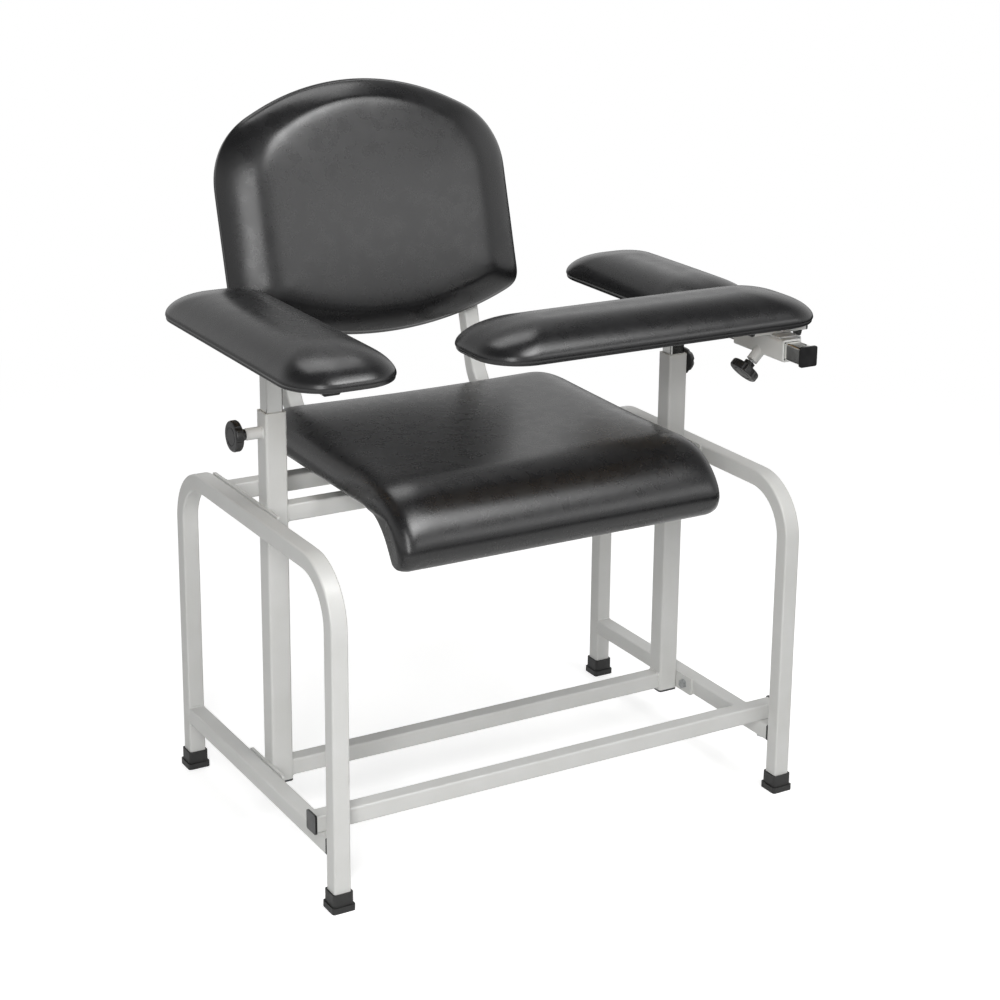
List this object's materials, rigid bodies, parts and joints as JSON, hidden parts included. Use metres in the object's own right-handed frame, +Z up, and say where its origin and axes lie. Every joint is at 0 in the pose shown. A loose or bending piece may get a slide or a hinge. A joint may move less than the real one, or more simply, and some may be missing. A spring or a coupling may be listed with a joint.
{
  "type": "phlebotomy chair",
  "caption": "Phlebotomy chair with a steel tube frame, black padded seat and back, height-adjustable padded arms and a flip-up cross pad.",
  "frame": {"origin": "on the floor, under the middle of the chair's overall box", "axes": "+Z up, +Y toward the back of the chair, +X toward the arm that carries the cross pad"},
  "size_m": [0.83, 0.766, 1.0123],
  "materials": {
    "grey_powder_coat": "satin",
    "chrome_tube": "polished",
    "zinc_steel": "satin",
    "black_vinyl": "satin",
    "board_wood": "matte",
    "black_plastic": "matte",
    "black_rubber": "matte"
  },
  "bodies": {
    "frame": {"back_board": "board_wood", "back_cushion": "black_vinyl", "back_screws": "zinc_steel", "bearer_bolts": "zinc_steel", "bearer_end_plugs": "black_plastic", "footrest_bar": "grey_powder_coat", "footrest_bolts": "zinc_steel", "footrest_end_caps": "black_plastic", "frame_bolts": "zinc_steel", "front_seat_crossbar": "grey_powder_coat", "left_lower_plate": "grey_powder_coat", "left_lower_rail": "grey_powder_coat", "left_post": "grey_powder_coat", "left_seat_bearer": "grey_powder_coat", "left_side_frame": "grey_powder_coat", "left_upper_plate": "grey_powder_coat", "lower_crossbar": "grey_powder_coat", "post_bottom_plugs": "black_plastic", "rail_end_plugs": "black_plastic", "rear_seat_crossbar": "grey_powder_coat", "right_lower_plate": "grey_powder_coat", "right_lower_rail": "grey_powder_coat", "right_post": "grey_powder_coat", "right_seat_bearer": "grey_powder_coat", "right_side_frame": "grey_powder_coat", "right_upper_plate": "grey_powder_coat", "rubber_feet": "black_rubber", "seat_board": "board_wood", "seat_cushion": "black_vinyl", "seat_screws": "zinc_steel"},
    "left_arm": {"left_arm_tube": "chrome_tube", "left_arm_bar": "chrome_tube", "left_arm_bar_plugs": "black_plastic", "left_arm_board": "board_wood", "left_arm_pad": "black_vinyl", "left_arm_screws": "zinc_steel"},
    "right_arm": {"right_arm_tube": "chrome_tube", "right_arm_bar": "chrome_tube", "right_arm_bar_plugs": "black_plastic", "right_arm_board": "board_wood", "right_arm_pad": "black_vinyl", "right_arm_screws": "zinc_steel"},
    "pad_slide": {"slide_sleeve": "grey_powder_coat", "hinge_fixed_leaf": "grey_powder_coat", "hinge_pin": "zinc_steel"},
    "flip_pad": {"hinge_moving_leaf": "grey_powder_coat", "bracket_tubes": "grey_powder_coat", "bracket_tube_plugs": "black_plastic", "pad_plate": "grey_powder_coat", "bumper": "black_rubber", "cross_board": "board_wood", "cross_pad": "black_vinyl", "cross_pad_screws": "zinc_steel"},
    "left_clamp": {"left_clamp_knob": "black_plastic", "left_clamp_stud": "zinc_steel"},
    "right_clamp": {"right_clamp_knob": "black_plastic", "right_clamp_stud": "zinc_steel"},
    "slide_clamp": {"slide_clamp_knob": "black_plastic", "slide_clamp_stud": "zinc_steel"}
  },
  "joints": [
    {"name": "left_arm_height", "type": "slide", "parent": "frame", "child": "left_arm", "axis": [0, 0, 1], "range_m": [-0.068, 0.1]},
    {"name": "right_arm_height", "type": "slide", "parent": "frame", "child": "right_arm", "axis": [0, 0, 1], "range_m": [-0.058, 0.1]},
    {"name": "pad_reach", "type": "slide", "parent": "right_arm", "child": "pad_slide", "axis": [0, -1, 0], "range_m": [-0.01, 0.035]},
    {"name": "pad_flip", "type": "hinge", "parent": "pad_slide", "child": "flip_pad", "pos_m": [0.3528, -0.284, 0.71], "axis": [0, 1, 0], "range_deg": [0, 90]},
    {"name": "left_clamp_turn", "type": "hinge", "parent": "frame", "child": "left_clamp", "pos_m": [-0.3885, -0.049, 0.5954], "axis": [-1, 0, 0], "range_deg": [0, 360]},
    {"name": "right_clamp_turn", "type": "hinge", "parent": "frame", "child": "right_clamp", "pos_m": [0.3768, -0.0047, 0.5954], "axis": [0.7071, 0.7071, 0], "range_deg": [0, 360]},
    {"name": "slide_clamp_turn", "type": "hinge", "parent": "pad_slide", "child": "slide_clamp", "pos_m": [0.3165, -0.2845, 0.681], "axis": [-0.7071, 0, -0.7071], "range_deg": [0, 360]}
  ]
}
